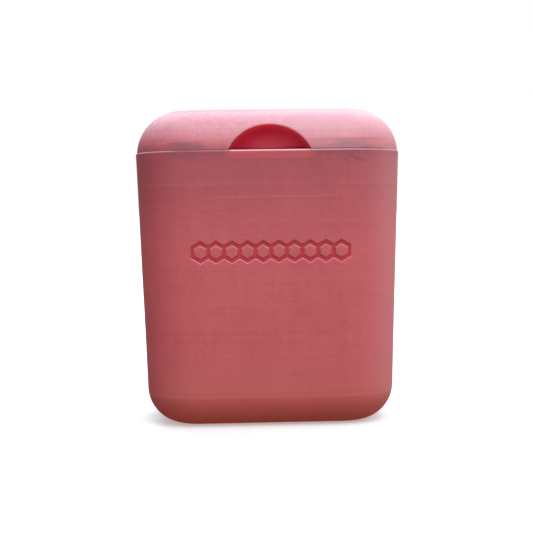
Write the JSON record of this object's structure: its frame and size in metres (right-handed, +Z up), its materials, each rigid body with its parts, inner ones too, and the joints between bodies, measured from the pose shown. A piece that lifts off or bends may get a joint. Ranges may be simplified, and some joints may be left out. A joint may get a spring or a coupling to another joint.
{
  "type": "chalk block case",
  "caption": "Upright flip-top printed case with a domed magnetic lid, thumb scoop and rear pin hinge, holding a block of gymnastics chalk.",
  "frame": {"origin": "centre of the flat underside of the case", "axes": "+Z up the height of the case, -Y out of the front face with the thumb scoop, +X to the right as the front is seen"},
  "size_m": [0.0688, 0.0506, 0.0814],
  "materials": {
    "printed_plastic": "satin",
    "nickel": "polished",
    "pin_steel": "satin",
    "chalk": "matte"
  },
  "bodies": {
    "case": {"body_shell": "printed_plastic", "body_magnet_left": "nickel", "body_magnet_right": "nickel", "hinge_pin": "pin_steel"},
    "lid": {"lid_shell": "printed_plastic", "lid_magnet_left": "nickel", "lid_magnet_right": "nickel"},
    "chalk": {"chalk_block": "chalk"}
  },
  "joints": [
    {"name": "lid_hinge", "type": "hinge", "parent": "case", "child": "lid", "pos_m": [0, 0.025, 0.0706], "axis": [-1, 0, 0], "range_deg": [0, 180]},
    {"name": "chalk_lift", "type": "slide", "parent": "case", "child": "chalk", "axis": [0, 0, 1], "range_m": [0, 0.009]}
  ]
}
